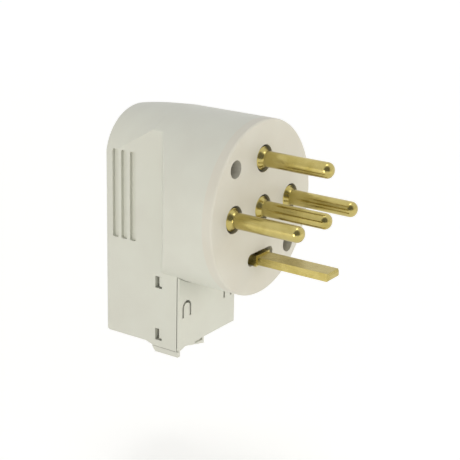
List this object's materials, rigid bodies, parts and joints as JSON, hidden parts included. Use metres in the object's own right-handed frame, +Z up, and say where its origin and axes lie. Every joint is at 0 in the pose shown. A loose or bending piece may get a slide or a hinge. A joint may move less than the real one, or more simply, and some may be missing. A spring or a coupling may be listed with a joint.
{
  "type": "industrial plug",
  "caption": "Angled power plug with round brass pins and a flat earth blade in a round face, a hood with grip grooves and a cord outlet pointing down.",
  "frame": {"origin": "the centre pin's axis where it passes the front face", "axes": "-Y the way the pins point, +X to the right seen from the pins, +Z up and away from the cord outlet"},
  "size_m": [0.067, 0.093, 0.0939],
  "materials": {
    "housing_plastic": "fine satin moulding, light warm grey",
    "carrier_plastic": "satin moulding, mid grey",
    "contact_brass": "turned and drawn brass",
    "screw_steel": "zinc plated steel"
  },
  "bodies": {
    "root": {"front_housing": "housing_plastic", "rear_cover": "housing_plastic", "neck_cover": "housing_plastic", "cord_clamp": "housing_plastic", "pin_retainer": "carrier_plastic", "centre_pin": "contact_brass", "left_pin": "contact_brass", "right_pin": "contact_brass", "top_pin": "contact_brass", "earth_blade": "contact_brass", "upper_housing_insert": "contact_brass", "lower_housing_insert": "contact_brass", "left_clamp_insert": "contact_brass", "right_clamp_insert": "contact_brass", "centre_terminal_screw": "screw_steel", "left_terminal_screw": "screw_steel", "right_terminal_screw": "screw_steel", "top_terminal_screw": "screw_steel", "earth_terminal_screw": "screw_steel", "upper_housing_screw": "screw_steel", "lower_housing_screw": "screw_steel", "upper_retainer_screw": "screw_steel", "lower_retainer_screw": "screw_steel", "left_clamp_screw": "screw_steel", "right_clamp_screw": "screw_steel"}
  },
  "joints": []
}
